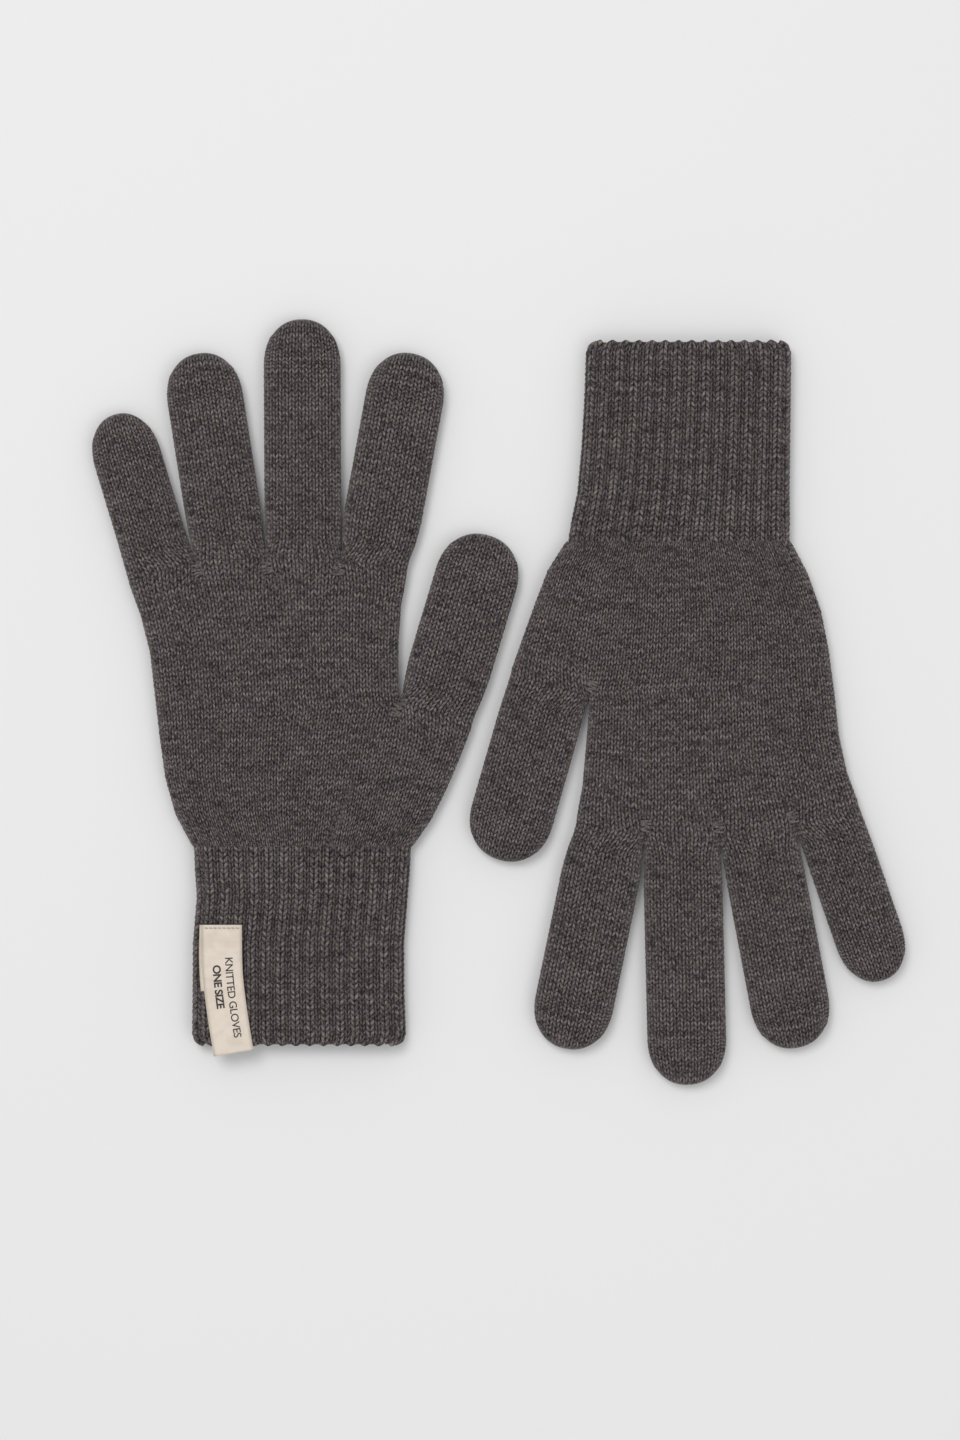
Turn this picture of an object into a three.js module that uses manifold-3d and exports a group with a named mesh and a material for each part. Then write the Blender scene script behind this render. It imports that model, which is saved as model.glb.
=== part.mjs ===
// A pair of knitted gloves lying flat: hollow hands, fingers, thumbs and ribbed cuffs,
// crotch darns and labels. Millimetres, +Z up. Each glove is drawn in its own frame, with
// the wrist on y = 0, the fingers along +Y and the thumb on the +X side, and lies on z = 0.
import * as THREE from 'three';
import Module from 'manifold-3d';

const wasm = await Module();
wasm.setup();

// Knitted cloth
const WALL = 1.4;          // one layer of stockinette
const CUFF_WALL = 1.7;     // one layer of rib
const LOFT = 8.4;          // height of the two layers of a hand or finger as it lies
const CUFF_LOFT = 9.2;     // the rib stands a little prouder
const GAP = 0.36;          // air left between neighbouring solids
const ARC_STEPS = 3;       // facets on each quarter of a rim
const OVERRUN = 1;         // how far a hollow is cut out past the ends of its cloth

// Where the thumb's cloth begins under the palm's, near the wrist
const THUMB_BASE = [[0, 0], [14, 22]];

// Rows across the cloth, as shares of its length, and points along a row, as shares of its width
const PALM_ROWS = [0, 0.14, 0.28, 0.42, 0.58, 0.74, 0.88, 1];
const THUMB_ROWS = [0, 0.25, 0.5, 0.75, 1];
const PALM_SHARES = [0.25, 0.5, 0.75];
const THUMB_SHARES = [0.5];

// Digits: how the tube swells from its root and rounds off at its tip
const SWELL = 16;          // length over which the root widens to the girth
const CAP = 16.5;          // length of the rounded tip
const CAP_POWER = 2.2;
const NOSE = 6;            // length over which the tip also thins
const CAP_DEGREES = [0, 26, 45, 61, 75, 85];
const TIP_SHARE = 0.1;     // of the girth, left flat at the very tip
const HOLLOW_SHARE = 0.3;  // and inside it

// Rib of the cuff
const RIBS = 15;           // ribs across one face
const RIB_DEPTH = 1;       // valley below the crest
const EDGE_LENGTH = 2.2;   // cast-on edge below the rib
const EDGE_SCALLOP = 0.7;
const RIB_CELLS = 3;       // points across a rib: two on its crest, one in its valley

// Darned ties at the crotches
const TIE_HOLE = 1.6;
const TIE_RADIUS = 1.2;    // of the knots
const TIE_WAIST = 0.8;     // of the strands between them
const TIE_FACE = 0.75;     // of a knot's flat face
const TIE_KNOT = 1.1;      // height to a knot's widest part
const TIE_NECK = 2.6;      // height to its neck
const TIE_LIFT = 0.1;      // off the ground
const TIE_SETBACK = 2.6;   // from the crotch to the tie's centre
const TIE_PROUD = 0.4;     // knot above the cloth
const TIE_SIDES = 12;

// Labels
const RIBBON = 0.35;       // thickness of the label tape
const LABEL_WIDTH = 13.8;
const CARE_WIDTH = 13.4;
const SIZE_LINE = [[-27.4, -26.2], [-27.2, -42], [-25.6, -56], [-23.3, -70.2]];
const CARE_LINE = [[-28.4, -26.4], [-28.6, -38], [-28, -48.6]];
const TAPE_STEPS = 8;
const SEAM = [[-33.4, -27.3], [-21.4, -27.3]];
const SEAM_STITCHES = 7;
const SEAM_RISE = 0.18;    // of a stitch above and below the seam's middle
const THREAD_RADIUS = 0.28;

const GLOVES = {
  left: {
    place: [-67.7, -50.3],
    turn: 0,
    littleRim: [[-37.4, 0], [-42.6, 9], [-47, 23.4], [-49.9, 45], [-53.2, 71.6], [-59.6, 90.9]],
    thumbRim: [[37.4, 0], [43.8, 9], [51.2, 24], [58.2, 41.6]],
    indexRim: [[37.4, 0], [36.4, 25], [33.3, 49.6], [32.9, 64], [33.4, 80], [35.9, 94.6]],
    crotches: [[-36.8, 98], [-12.6, 99], [13, 98.5]],
    digits: {
      little_finger: { tip: [-64.9, 149.5], girth: 23.4 },
      ring_finger: { tip: [-36, 170.6], girth: 26.2 },
      middle_finger: { tip: [-0.2, 182.4], girth: 26.5 },
      index_finger: { tip: [38, 170.6], girth: 27 },
      thumb: { tip: [64.4, 107.8], girth: 28.8 },
    },
    cuffRims: [
      [[-37.2, 0], [-36, -16], [-37.2, -28], [-37.4, -46], [-37.6, -65.4]],
      [[37.2, 0], [35.9, -16], [34.7, -30], [34.6, -46], [35.3, -65.4]],
    ],
  },
  right: {
    place: [62.2, 55.8],
    turn: Math.PI,
    littleRim: [[-38.1, 0], [-44.2, 11.7], [-48.6, 24], [-52.3, 44], [-55.8, 73], [-61.6, 90.6]],
    thumbRim: [[38.6, 0], [45, 10], [51.6, 27.5], [57.9, 45.2]],
    indexRim: [[38.6, 0], [36, 26], [31, 53], [31.9, 68], [32.5, 80], [35.3, 96.2]],
    crotches: [[-39.8, 97.8], [-13.6, 101.4], [11.8, 101]],
    digits: {
      little_finger: { tip: [-70.6, 151.8], girth: 23.6 },
      ring_finger: { tip: [-41, 175.1], girth: 27.2 },
      middle_finger: { tip: [-3, 187.9], girth: 27.2 },
      index_finger: { tip: [39.4, 175.4], girth: 27.3 },
      thumb: { tip: [62, 110.3], girth: 28.8 },
    },
    cuffRims: [
      [[-37.8, 0], [-37.6, -17], [-37.8, -35], [-38, -50], [-38.1, -66]],
      [[38.1, 0], [34.9, -15], [33.7, -27], [32.6, -42], [31.7, -66]],
    ],
  },
};

const KNIT = { color: 0x49443f, roughness: 0.95, metalness: 0 };
const KNIT_DARK = { color: 0x3f3b38, roughness: 0.95, metalness: 0 };
const THREAD = { color: 0x55504b, roughness: 0.9, metalness: 0 };
const TAPE = { color: 0xdad0be, roughness: 0.75, metalness: 0 };

const pair = new THREE.Group();

// Small helpers --------------------------------------------------------------------------

const vec = ([x, y]) => new THREE.Vector2(x, y);

const mix = (a, b, t) => a.clone().lerp(b, t);

const smooth = (t) => THREE.MathUtils.smoothstep(t, 0, 1);

function along(points) {
  const curve = new THREE.SplineCurve(points.map(vec));
  curve.arcLengthDivisions = 60;
  return (t) => curve.getPointAt(THREE.MathUtils.clamp(t, 0, 1));
}

// A straight-sided path: the point at the share t of its length
function alongPolyline(points) {
  const path = new THREE.CurvePath();
  for (let i = 1; i < points.length; i += 1) {
    path.add(new THREE.LineCurve(vec(points[i - 1]), vec(points[i])));
  }
  return (t) => path.getPoint(THREE.MathUtils.clamp(t, 0, 1));
}

function toManifold(vertices, triangles) {
  return new wasm.Manifold(new wasm.Mesh({
    numProp: 3,
    vertProperties: new Float32Array(vertices),
    triVerts: new Uint32Array(triangles),
  }));
}

function toGeometry(solid) {
  const mesh = solid.getMesh();
  const geometry = new THREE.BufferGeometry();
  geometry.setAttribute('position', new THREE.BufferAttribute(new Float32Array(mesh.vertProperties), 3));
  geometry.setIndex([...mesh.triVerts]);
  geometry.computeVertexNormals();
  return geometry;
}

// Cloth lying double: rows of points from one rim to the other, each with the height of its
// upper and lower face. The faces meet at the rims; the first and last rows are closed off.
function doubleCloth(rows) {
  const wide = rows[0].length;
  const ring = 2 * wide - 2;
  const vertices = [];
  for (const row of rows) {
    for (const p of row) vertices.push(p.x, p.y, p.top);
    for (let i = wide - 2; i > 0; i -= 1) vertices.push(row[i].x, row[i].y, row[i].bottom);
  }
  const triangles = [];
  const quad = (a, b, c, d) => triangles.push(a, b, c, a, c, d);
  for (let r = 0; r + 1 < rows.length; r += 1) {
    for (let i = 0; i < ring; i += 1) {
      const here = r * ring + i;
      const next = r * ring + ((i + 1) % ring);
      quad(here, next, next + ring, here + ring);
    }
  }
  const last = (rows.length - 1) * ring;
  const under = (i) => (ring - i) % ring;
  for (let i = 0; i + 1 < wide; i += 1) {
    const [upA, upB, downA, downB] = [i, i + 1, under(i), under(i + 1)];
    for (const [base, flip] of [[0, true], [last, false]]) {
      const corners = [...new Set([upA, upB, downB, downA])].map((c) => c + base);
      if (flip) corners.reverse();
      for (let k = 1; k + 1 < corners.length; k += 1) {
        triangles.push(corners[0], corners[k], corners[k + 1]);
      }
    }
  }
  return toManifold(vertices, triangles);
}

// One row across flattened cloth: a round rim at each end, and flat cloth between them with
// points at the given shares of the width
function flatRow(pointAt, width, loft, inset, shares = []) {
  const radius = Math.min(loft / 2 - inset, width / 2 - inset);
  const middle = loft / 2;
  const row = [];
  const add = (share, rise) => {
    const p = pointAt(share);
    row.push({ x: p.x, y: p.y, top: middle + rise, bottom: middle - rise });
  };
  const rim = (k) => {
    const angle = (k / ARC_STEPS) * Math.PI / 2;
    return [(inset + radius * (1 - Math.cos(angle))) / width, radius * Math.sin(angle)];
  };
  for (let k = 0; k <= ARC_STEPS; k += 1) {
    const [share, rise] = rim(k);
    add(share, rise);
  }
  for (const share of shares) add(share, radius);
  for (let k = ARC_STEPS; k >= 0; k -= 1) {
    const [share, rise] = rim(k);
    add(1 - share, rise);
  }
  return row;
}

// Digits ---------------------------------------------------------------------------------

// The closed tube of one finger, from its root to its rounded tip; inset makes its hollow
function digitTube(rootA, rootB, tip, girth, inset, overrun) {
  const root = mix(rootA, rootB, 0.5);
  const ahead = tip.clone().sub(root);
  const length = ahead.length();
  ahead.normalize();
  const across = new THREE.Vector2(ahead.y, -ahead.x);
  const rootAcross = rootB.clone().sub(rootA);
  const rootWidth = rootAcross.length() - GAP;
  rootAcross.normalize();
  const row = (s, loftShare, widthShare) => {
    const grown = smooth((s - GAP) / SWELL);
    const width = THREE.MathUtils.lerp(rootWidth, girth - GAP, grown) * widthShare;
    const side = mix(rootAcross, across, smooth(s / SWELL)).normalize();
    const centre = root.clone().addScaledVector(ahead, s);
    const pointAt = (share) => centre.clone().addScaledVector(side, (share - 0.5) * width);
    const cells = flatRow(pointAt, width, LOFT, inset);
    for (const c of cells) {
      c.top = LOFT / 2 + (c.top - LOFT / 2) * loftShare;
      c.bottom = LOFT / 2 + (c.bottom - LOFT / 2) * loftShare;
    }
    return cells;
  };
  const straight = [0, 0.25, 0.5, 1].map((t) => GAP + t * SWELL);
  const capStart = length - CAP;
  straight.push((straight.at(-1) + capStart) / 2);
  const rows = straight.map((s) => row(s, 1, 1));
  if (overrun) rows.unshift(row(GAP - overrun, 1, 1));
  const reach = CAP - inset;
  for (const degrees of CAP_DEGREES) {
    const run = Math.sin(THREE.MathUtils.degToRad(degrees));
    const narrow = (1 - run ** CAP_POWER) ** (1 / CAP_POWER);
    const intoNose = Math.max(0, (run * reach - (reach - NOSE)) / NOSE);
    const thin = Math.sqrt(1 - intoNose ** 2 * 0.9);
    rows.push(row(capStart + run * reach, thin, Math.max(narrow, inset ? HOLLOW_SHARE : TIP_SHARE)));
  }
  return doubleCloth(rows);
}

function digit(rootA, rootB, tip, girth) {
  const outside = digitTube(rootA, rootB, tip, girth, 0, 0);
  const inside = digitTube(rootA, rootB, tip, girth, WALL, OVERRUN);
  return outside.subtract(inside);
}

// Hand -----------------------------------------------------------------------------------

// Cloth stretched between two rims, a straight wrist and the line of finger roots
function patch(leftRim, rightRim, start, end) {
  const left = along(leftRim);
  const right = along(rightRim);
  return (t, share) => {
    const flat = mix(start(share), end(share), t);
    const leftPull = left(t).sub(mix(start(0), end(0), t)).multiplyScalar(1 - share);
    const rightPull = right(t).sub(mix(start(1), end(1), t)).multiplyScalar(share);
    return flat.add(leftPull).add(rightPull);
  };
}

function patchSolid(surface, steps, inset, shares) {
  const rows = steps.map((t) => {
    const width = surface(t, 0).distanceTo(surface(t, 1));
    return flatRow((share) => surface(t, share), width, LOFT, inset, shares);
  });
  return doubleCloth(rows);
}

// A hollow inside a patch, cut out past the wrist and past the finger roots
function patchHollow(surface, steps, shares) {
  const reach = 2 * OVERRUN;
  const longer = (t, share) => {
    const end = surface(THREE.MathUtils.clamp(t, 0, 1), share);
    if (t < 0) return end.add(new THREE.Vector2(0, -reach));
    if (t > 1) return end.add(end.clone().sub(surface(0.97, share)).setLength(reach));
    return end;
  };
  return patchSolid(longer, [-1, ...steps, 2], WALL, shares);
}

// The line of finger roots: the outer corners and the crotches between
function fingerCorners(glove) {
  return [glove.littleRim.at(-1), ...glove.crotches, glove.indexRim.at(-1)];
}

// The thumb leaves the palm at the third point of the rim below the index finger
function thumbCrotch(glove) {
  return glove.indexRim[2];
}

function hand(glove) {
  const { littleRim, indexRim, thumbRim } = glove;
  const wrist = alongPolyline([littleRim[0], indexRim[0]]);
  const palm = patch(littleRim, indexRim, wrist, alongPolyline(fingerCorners(glove)));
  const inner = [...THUMB_BASE, thumbCrotch(glove)];
  const base = patch(inner, thumbRim, alongPolyline([inner[0], thumbRim[0]]),
    alongPolyline([inner.at(-1), thumbRim.at(-1)]));
  const outside = patchSolid(palm, PALM_ROWS, 0, PALM_SHARES)
    .add(patchSolid(base, THUMB_ROWS, 0, THUMB_SHARES));
  const inside = patchHollow(palm, PALM_ROWS, PALM_SHARES)
    .add(patchHollow(base, THUMB_ROWS, THUMB_SHARES));
  let cloth = outside.subtract(inside);
  for (const at of tiePlaces(glove)) {
    const hole = wasm.Manifold.cylinder(3 * LOFT, TIE_HOLE, TIE_HOLE, TIE_SIDES);
    cloth = cloth.subtract(hole.translate([at.x, at.y, -LOFT]));
  }
  return cloth;
}

// Each tie sits in the hand, just short of the crotch that it closes
function tiePlaces(glove) {
  const setBack = (crotch, heading) => vec(crotch).sub(heading.setLength(TIE_SETBACK));
  const fingers = glove.crotches.map((crotch) => setBack(crotch, vec(crotch)));
  return [...fingers, setBack(thumbCrotch(glove), new THREE.Vector2(0.35, 1))];
}

// A darned tie: yarn wound round the crotch, a waisted column with a knot at each end
function tie(at) {
  const high = LOFT + TIE_PROUD;
  const profile = [
    [0, TIE_LIFT],
    [TIE_FACE, TIE_LIFT],
    [TIE_RADIUS, TIE_KNOT],
    [TIE_WAIST, TIE_NECK],
    [TIE_WAIST, high - TIE_NECK],
    [TIE_RADIUS, high - TIE_KNOT],
    [TIE_FACE, high],
    [0, high],
  ];
  const geometry = new THREE.LatheGeometry(profile.map(vec), TIE_SIDES);
  geometry.rotateX(Math.PI / 2);
  geometry.translate(at.x, at.y, 0);
  return geometry;
}

// Cuff -----------------------------------------------------------------------------------

// A row across the rib, with a crest and a valley to each rib on both faces
function ribRow(a, b, depth) {
  const width = a.distanceTo(b);
  const radius = CUFF_LOFT / 2;
  const row = [];
  const add = (share, rise) => {
    const p = mix(a, b, share);
    row.push({ x: p.x, y: p.y, top: radius + rise, bottom: radius - rise });
  };
  for (let k = 0; k < RIBS * RIB_CELLS; k += 1) {
    const share = (k + 0.5) / (RIBS * RIB_CELLS);
    const fromRim = Math.min(share, 1 - share) * width;
    const round = fromRim >= radius ? 1 : Math.sqrt(1 - (1 - fromRim / radius) ** 2);
    const inValley = k % RIB_CELLS === RIB_CELLS - 1;
    add(share, (inValley ? radius - depth : radius) * round);
  }
  row.unshift({ x: a.x, y: a.y, top: radius, bottom: radius });
  row.push({ x: b.x, y: b.y, top: radius, bottom: radius });
  return row;
}

function ribTube(rims, steps, depth, wall) {
  const [left, right] = rims;
  const rows = steps.map((t) => ribRow(left(t), right(t), depth));
  const hollow = steps.map((t) => {
    const beyond = new THREE.Vector2();
    if (t === 0) beyond.y = OVERRUN;
    if (t === 1) beyond.y = -OVERRUN;
    const a = left(t).add(beyond);
    const b = right(t).add(beyond);
    return flatRow((share) => mix(a, b, share), a.distanceTo(b), CUFF_LOFT, wall + depth / 2);
  });
  return doubleCloth(rows.reverse()).subtract(doubleCloth(hollow.reverse()));
}

function cuff(glove) {
  const drop = new THREE.Vector2(0, -GAP);
  const rims = glove.cuffRims.map((points) => {
    const rim = along(points);
    return (t) => rim(t).add(mix(drop, new THREE.Vector2(), t));
  });
  return ribTube(rims, [0, 0.25, 0.5, 0.75, 1], RIB_DEPTH, CUFF_WALL);
}

// The cast-on edge: a firm row of loops that scallops with the ribs
function cuffEdge(glove) {
  const rims = glove.cuffRims.map((points) => {
    const end = vec(points.at(-1));
    return (t) => end.clone().add(new THREE.Vector2(0, -GAP - t * EDGE_LENGTH));
  });
  return ribTube(rims, [0, 0.5, 1], EDGE_SCALLOP, CUFF_WALL);
}

// Labels ---------------------------------------------------------------------------------

// A strip of tape on the cuff, curving gently down to its cut end
function tape(centreline, width, height) {
  const centre = along(centreline);
  const edges = [[], []];
  for (let i = 0; i <= TAPE_STEPS; i += 1) {
    const t = i / TAPE_STEPS;
    const p = centre(t);
    const heading = centre(t + 0.02).sub(centre(t - 0.02)).normalize();
    const side = new THREE.Vector2(-heading.y, heading.x).multiplyScalar(width / 2);
    edges[0].push(p.clone().add(side));
    edges[1].unshift(p.clone().sub(side));
  }
  const geometry = new THREE.ExtrudeGeometry(new THREE.Shape([...edges[0], ...edges[1]]), {
    depth: RIBBON, bevelEnabled: false,
  });
  geometry.translate(0, 0, height);
  return geometry;
}

// The thread that sews the labels on: one run of stitches along their top edge
function stitchThread(from, to, height) {
  const steps = SEAM_STITCHES * 4;
  const points = [];
  for (let i = 0; i <= steps; i += 1) {
    const p = mix(vec(from), vec(to), i / steps);
    points.push(new THREE.Vector3(p.x, p.y, height + SEAM_RISE * Math.sin(i * Math.PI / 2)));
  }
  const circle = new THREE.EllipseCurve(0, 0, THREAD_RADIUS, THREAD_RADIUS);
  const round = new THREE.Shape(circle.getPoints(6).slice(0, 6));
  const extrudePath = new THREE.CatmullRomCurve3(points);
  return new THREE.ExtrudeGeometry(round, { extrudePath, steps, bevelEnabled: false });
}

// Assembly -------------------------------------------------------------------------------

function addMesh(parent, name, geometry, look) {
  const mesh = new THREE.Mesh(geometry, new THREE.MeshStandardMaterial(look));
  mesh.name = name;
  parent.add(mesh);
}

function addGlove(side) {
  const glove = GLOVES[side];
  const group = new THREE.Group();
  group.position.set(glove.place[0], glove.place[1], 0);
  group.rotation.z = glove.turn;
  pair.add(group);
  addMesh(group, `${side}_hand`, toGeometry(hand(glove)), KNIT);
  addMesh(group, `${side}_cuff`, toGeometry(cuff(glove)), KNIT);
  addMesh(group, `${side}_cuff_edge`, toGeometry(cuffEdge(glove)), KNIT_DARK);
  const corners = fingerCorners(glove).map(vec);
  const roots = corners.slice(1).map((b, i) => [corners[i], b]);
  roots.push([vec(thumbCrotch(glove)), vec(glove.thumbRim.at(-1))]);
  Object.entries(glove.digits).forEach(([name, { tip, girth }], i) => {
    const tube = digit(...roots[i], vec(tip), girth);
    addMesh(group, `${side}_${name}`, toGeometry(tube), KNIT);
  });
  const ties = ['little_ring', 'ring_middle', 'middle_index', 'thumb'];
  tiePlaces(glove).forEach((at, i) => addMesh(group, `${side}_${ties[i]}_darn`, tie(at), THREAD));
  return group;
}

function addLabels(group) {
  const careHeight = CUFF_LOFT + GAP;
  const sizeHeight = careHeight + RIBBON + GAP;
  const seamHeight = sizeHeight + RIBBON + GAP + SEAM_RISE + THREAD_RADIUS;
  addMesh(group, 'care_label', tape(CARE_LINE, CARE_WIDTH, careHeight), TAPE);
  addMesh(group, 'size_label', tape(SIZE_LINE, LABEL_WIDTH, sizeHeight), TAPE);
  addMesh(group, 'label_thread', stitchThread(...SEAM, seamHeight), TAPE);
}

addLabels(addGlove('left'));
addGlove('right');

export default pair;
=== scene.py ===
"""A pair of marled knitted gloves lying flat: every stitch is modelled, on tubes read from the frame."""

import math

import bmesh
import bpy
import numpy as np
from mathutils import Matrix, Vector


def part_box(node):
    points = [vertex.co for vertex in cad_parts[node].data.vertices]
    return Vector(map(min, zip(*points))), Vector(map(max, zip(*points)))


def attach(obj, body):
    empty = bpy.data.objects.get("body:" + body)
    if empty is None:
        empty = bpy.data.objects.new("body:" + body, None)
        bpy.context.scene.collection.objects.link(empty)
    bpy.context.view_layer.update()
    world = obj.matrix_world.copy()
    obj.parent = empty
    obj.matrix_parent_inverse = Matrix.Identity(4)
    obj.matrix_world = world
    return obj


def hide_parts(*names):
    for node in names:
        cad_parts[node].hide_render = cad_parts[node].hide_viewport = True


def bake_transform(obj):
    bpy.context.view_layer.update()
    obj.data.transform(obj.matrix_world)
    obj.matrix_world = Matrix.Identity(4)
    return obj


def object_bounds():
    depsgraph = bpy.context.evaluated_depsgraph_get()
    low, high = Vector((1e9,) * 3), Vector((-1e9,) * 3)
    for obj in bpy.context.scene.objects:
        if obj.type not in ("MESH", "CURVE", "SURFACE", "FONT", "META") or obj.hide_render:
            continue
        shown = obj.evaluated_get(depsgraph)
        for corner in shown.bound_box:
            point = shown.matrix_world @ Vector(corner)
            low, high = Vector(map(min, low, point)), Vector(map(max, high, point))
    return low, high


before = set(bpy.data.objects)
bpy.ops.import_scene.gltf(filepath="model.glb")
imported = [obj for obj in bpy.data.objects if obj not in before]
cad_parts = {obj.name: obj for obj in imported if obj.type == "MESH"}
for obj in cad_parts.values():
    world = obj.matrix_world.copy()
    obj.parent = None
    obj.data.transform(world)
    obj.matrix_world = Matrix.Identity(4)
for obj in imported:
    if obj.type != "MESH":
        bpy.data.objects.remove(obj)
start_low, start_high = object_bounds()

MM = 0.001
WELD = 0.001 * MM               # points this close are one point
DIGITS = ("little_finger", "ring_finger", "middle_finger", "index_finger", "thumb")
SIDES = ("left", "right")

# Gauge of the knit
WALE = 2.35 * MM                # width of one stitch
ROOT_SQUEEZE = 0.97             # a digit's root is a little tighter than that
FINGER_COURSE = 1.62 * MM       # height of one stitch
HAND_COURSE = 1.78 * MM
CUFF_COURSE = 1.8 * MM
COLUMNS = 6                     # mesh columns to a stitch
ROWS = 4                        # mesh rows to a stitch
LEAN = 0.8                      # how far a stitch's two legs rise from its middle, in courses
RELIEF = 0.42 * MM              # yarn above and below the cloth's middle surface
GROOVE, FOLD, LEG = -1.25, -0.75, 0.75      # in reliefs: between stitches, mid-stitch, on a leg
LEG_PROFILE = np.array([-1.1, 0.3, 0.5, 0.1])   # added along a leg, for each mesh row of a stitch
UNEVEN_STITCH = 0.15            # share by which a stitch stands higher or lower than most
WALE_SCATTER, COURSE_SCATTER = 12.9898, 78.233      # radians from one stitch to the next, in no pattern
RIM_RELIEF = 0.4                # share of the relief that is left on a tube's upright rim
PICKED_UP = {                   # stitches picked up at the crotches on a digit's two sides
    "little_finger": (0, 2),
    "ring_finger": (1, 1),
    "middle_finger": (1, 1),
    "index_finger": (2, 0),
    "thumb": (2, 0),
}

# The tubes as they lie
SOFT_RIM = 7.5 * MM             # width over which a tube's edge rounds off
RIM_STEPS = 24                  # points that round it
HALF_HEIGHT = 4.2 * MM          # of a flat glove, where stitches are spaced round its rims
BURIED = 0.7                    # how far inside its node the cloth's middle lies, in reliefs
INSIDE = 0.3 * MM               # outlines are read this far in from a node's end
SECTIONS = 14                   # cuts that read a digit's two sides
CORNER_PULL = 1.7               # a root corner is low and far out; how much more being low counts
TIP_SHARE = 8                   # the last eighth of a fingertip shows which way the digit points
BELT_DROP = 0.93                # share of the thumb crotch's height at which its row meets the far edge
CROTCH_REACH = 11 * MM          # how far the groove between two fingers runs into the hand
GATHER_POWER = 1.5              # and how late it deepens
CAP = 16.5 * MM                 # length of a fingertip
CAP_POWER = 2.2                 # of the curve of its outline
ARCH_POWER = 1.6                # how late its courses take up the shape of the closing row
CAP_SIDE = 6 * MM               # the closing row starts this far short of the tip at its sides
CLOSING = 7 * MM                # length over which a tip closes
GATHERED = 9 * MM               # length over which stitches picked up at a crotch spread out
SWELL, SLANTED_SWELL = 0.22 * MM, 0.3 * MM  # the cloth's slow waves

# The rib of the cuff
RIBS = 15
CREST_SHARE = 0.62              # of a rib's width, taken by the stitches that stand up
CREST_RISE = 0.35               # of the rib's depth, above the middle surface
ROUNDNESS = 0.7                 # power of a rib's rounded section
RIB_DEPTH = 1.05 * MM
RIB_FADE = 5                    # courses over which the ribs flatten towards the wrist
RIB_LEFT = 0.08                 # share of them that is left there
HEM_CORNER = 3.6 * MM           # radius of the cuff's corners
CORNER_SHARE = 0.98             # of a full quarter circle
HEM_INSIDE, WRIST_INSIDE = 0.4 * MM, 0.8 * MM       # the cuff's sides are read this far in from its ends
HEM_SCALLOP = 1.0 * MM
HEM_DROP = 0.5 * MM             # the edge between lining and outside hangs this much lower
HEM_COURSES = 1.6               # that the scallops reach up
CUFF_WALL = 1.6 * MM            # plus a share of the ribs' depth
VALLEY_WALL = 0.3
CUFF_RIM = 6 * MM
WRIST_LAP = 1.8 * MM            # the cuff runs on under the hand's first course
WRIST_WAVE = 0.45 * MM          # that course dips over each rib
DRAWN_IN = 7 * MM               # length over which the cloth thins towards the wrist
HAND_THINS, CUFF_THINS = 0.07, 0.1      # and the share by which it does
CUFF_BEND = 16 * MM             # a length down the cuff from the wrist, at which a point is read
DIGIT_BEND = 22 * MM            # and up a digit from its root

# The crease that the left glove's thumb base throws, from the wrist up
CREASE_START = np.array([9.0, 1.0]) * MM
CREASE_END = np.array([16.0, 21.0]) * MM
CREASE_DEPTH = 2.1 * MM
CREASE_WIDTH = 1.4 * MM

# Darns and labels
DARN_STRANDS = 5
DARN_SPREAD = 0.85 * MM         # between neighbouring strands
DARN_REACH = 2.2 * MM           # half of a strand's length
DARN_TAPER = 0.12               # share by which each strand is shorter than its inner neighbour
DARN_SLANT = 0.3                # steepest slope of a strand across the crotch
DARN_STAGGER = 0.12 * MM        # every second strand lies this much lower
DARN_POINTS = 33                # round a strand's loop
THUMB_DARN = np.array([0.35, 1.0])      # the way the thumb's crotch opens
YARN = 0.4 * MM                 # radius of darning yarn
TAPE = 0.28 * MM                # thickness of label tape
LABEL_ROWS, LABEL_COLUMNS = 56, 19      # of points on a label
CHORD = 2 * MM                  # a label's heading is read over this much each way
SEWN_SHARE = 0.12               # of a label's length, held flat by the seam
RIPPLE = 0.5 * MM               # of a label's face
CURL = 0.7 * MM                 # at the main label's free end
CURL_START = 0.55               # share of the length from which it curls
CURL_TILT = 0.6                 # one edge curls up more than the other
CARE_LIFT, SIZE_LIFT = 0.35 * MM, 0.85 * MM     # the labels' faces above the cuff
SEWING = 0.2 * MM               # radius of the sewing thread
SEAM_STITCHES = 8
STITCH_SHARE = 0.36             # half of a running stitch, of the distance from one to the next
STITCH_ARCH = 1.6               # how far it rises, in radii of the thread
SEAM_SLANT = 0.06 * MM          # each end lies this much above or below the seam's line
STRAND_SIDES = 8
PLY_SWELL = 0.16                # share of a strand's radius by which its two plies bulge
TWIST = 0.6                     # radians that they turn in a radius of length
ASKEW = np.array([[0.31, 0.17, 0.93]])  # a direction that no strand follows
LETTER_HEIGHT = 2.6 * MM
CAPITAL = 0.7                   # height of a capital letter, as a share of its type size
TRACKING = 0.93                 # spacing of the letters
LETTER_EXTRUDE, LETTER_LIFT = 0.02 * MM, 0.03 * MM      # half thickness, and middle above the tape
BOLD, LIGHT = 0.11 * MM, 0.03 * MM      # by which the strokes are widened
LINES = (                       # words, bold or not, share of the label at which they start, place across
    ("KNITTED GLOVES", False, 0.25, 1.1 * MM),
    ("ONE SIZE", True, 0.31, -3.2 * MM),
)

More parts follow.
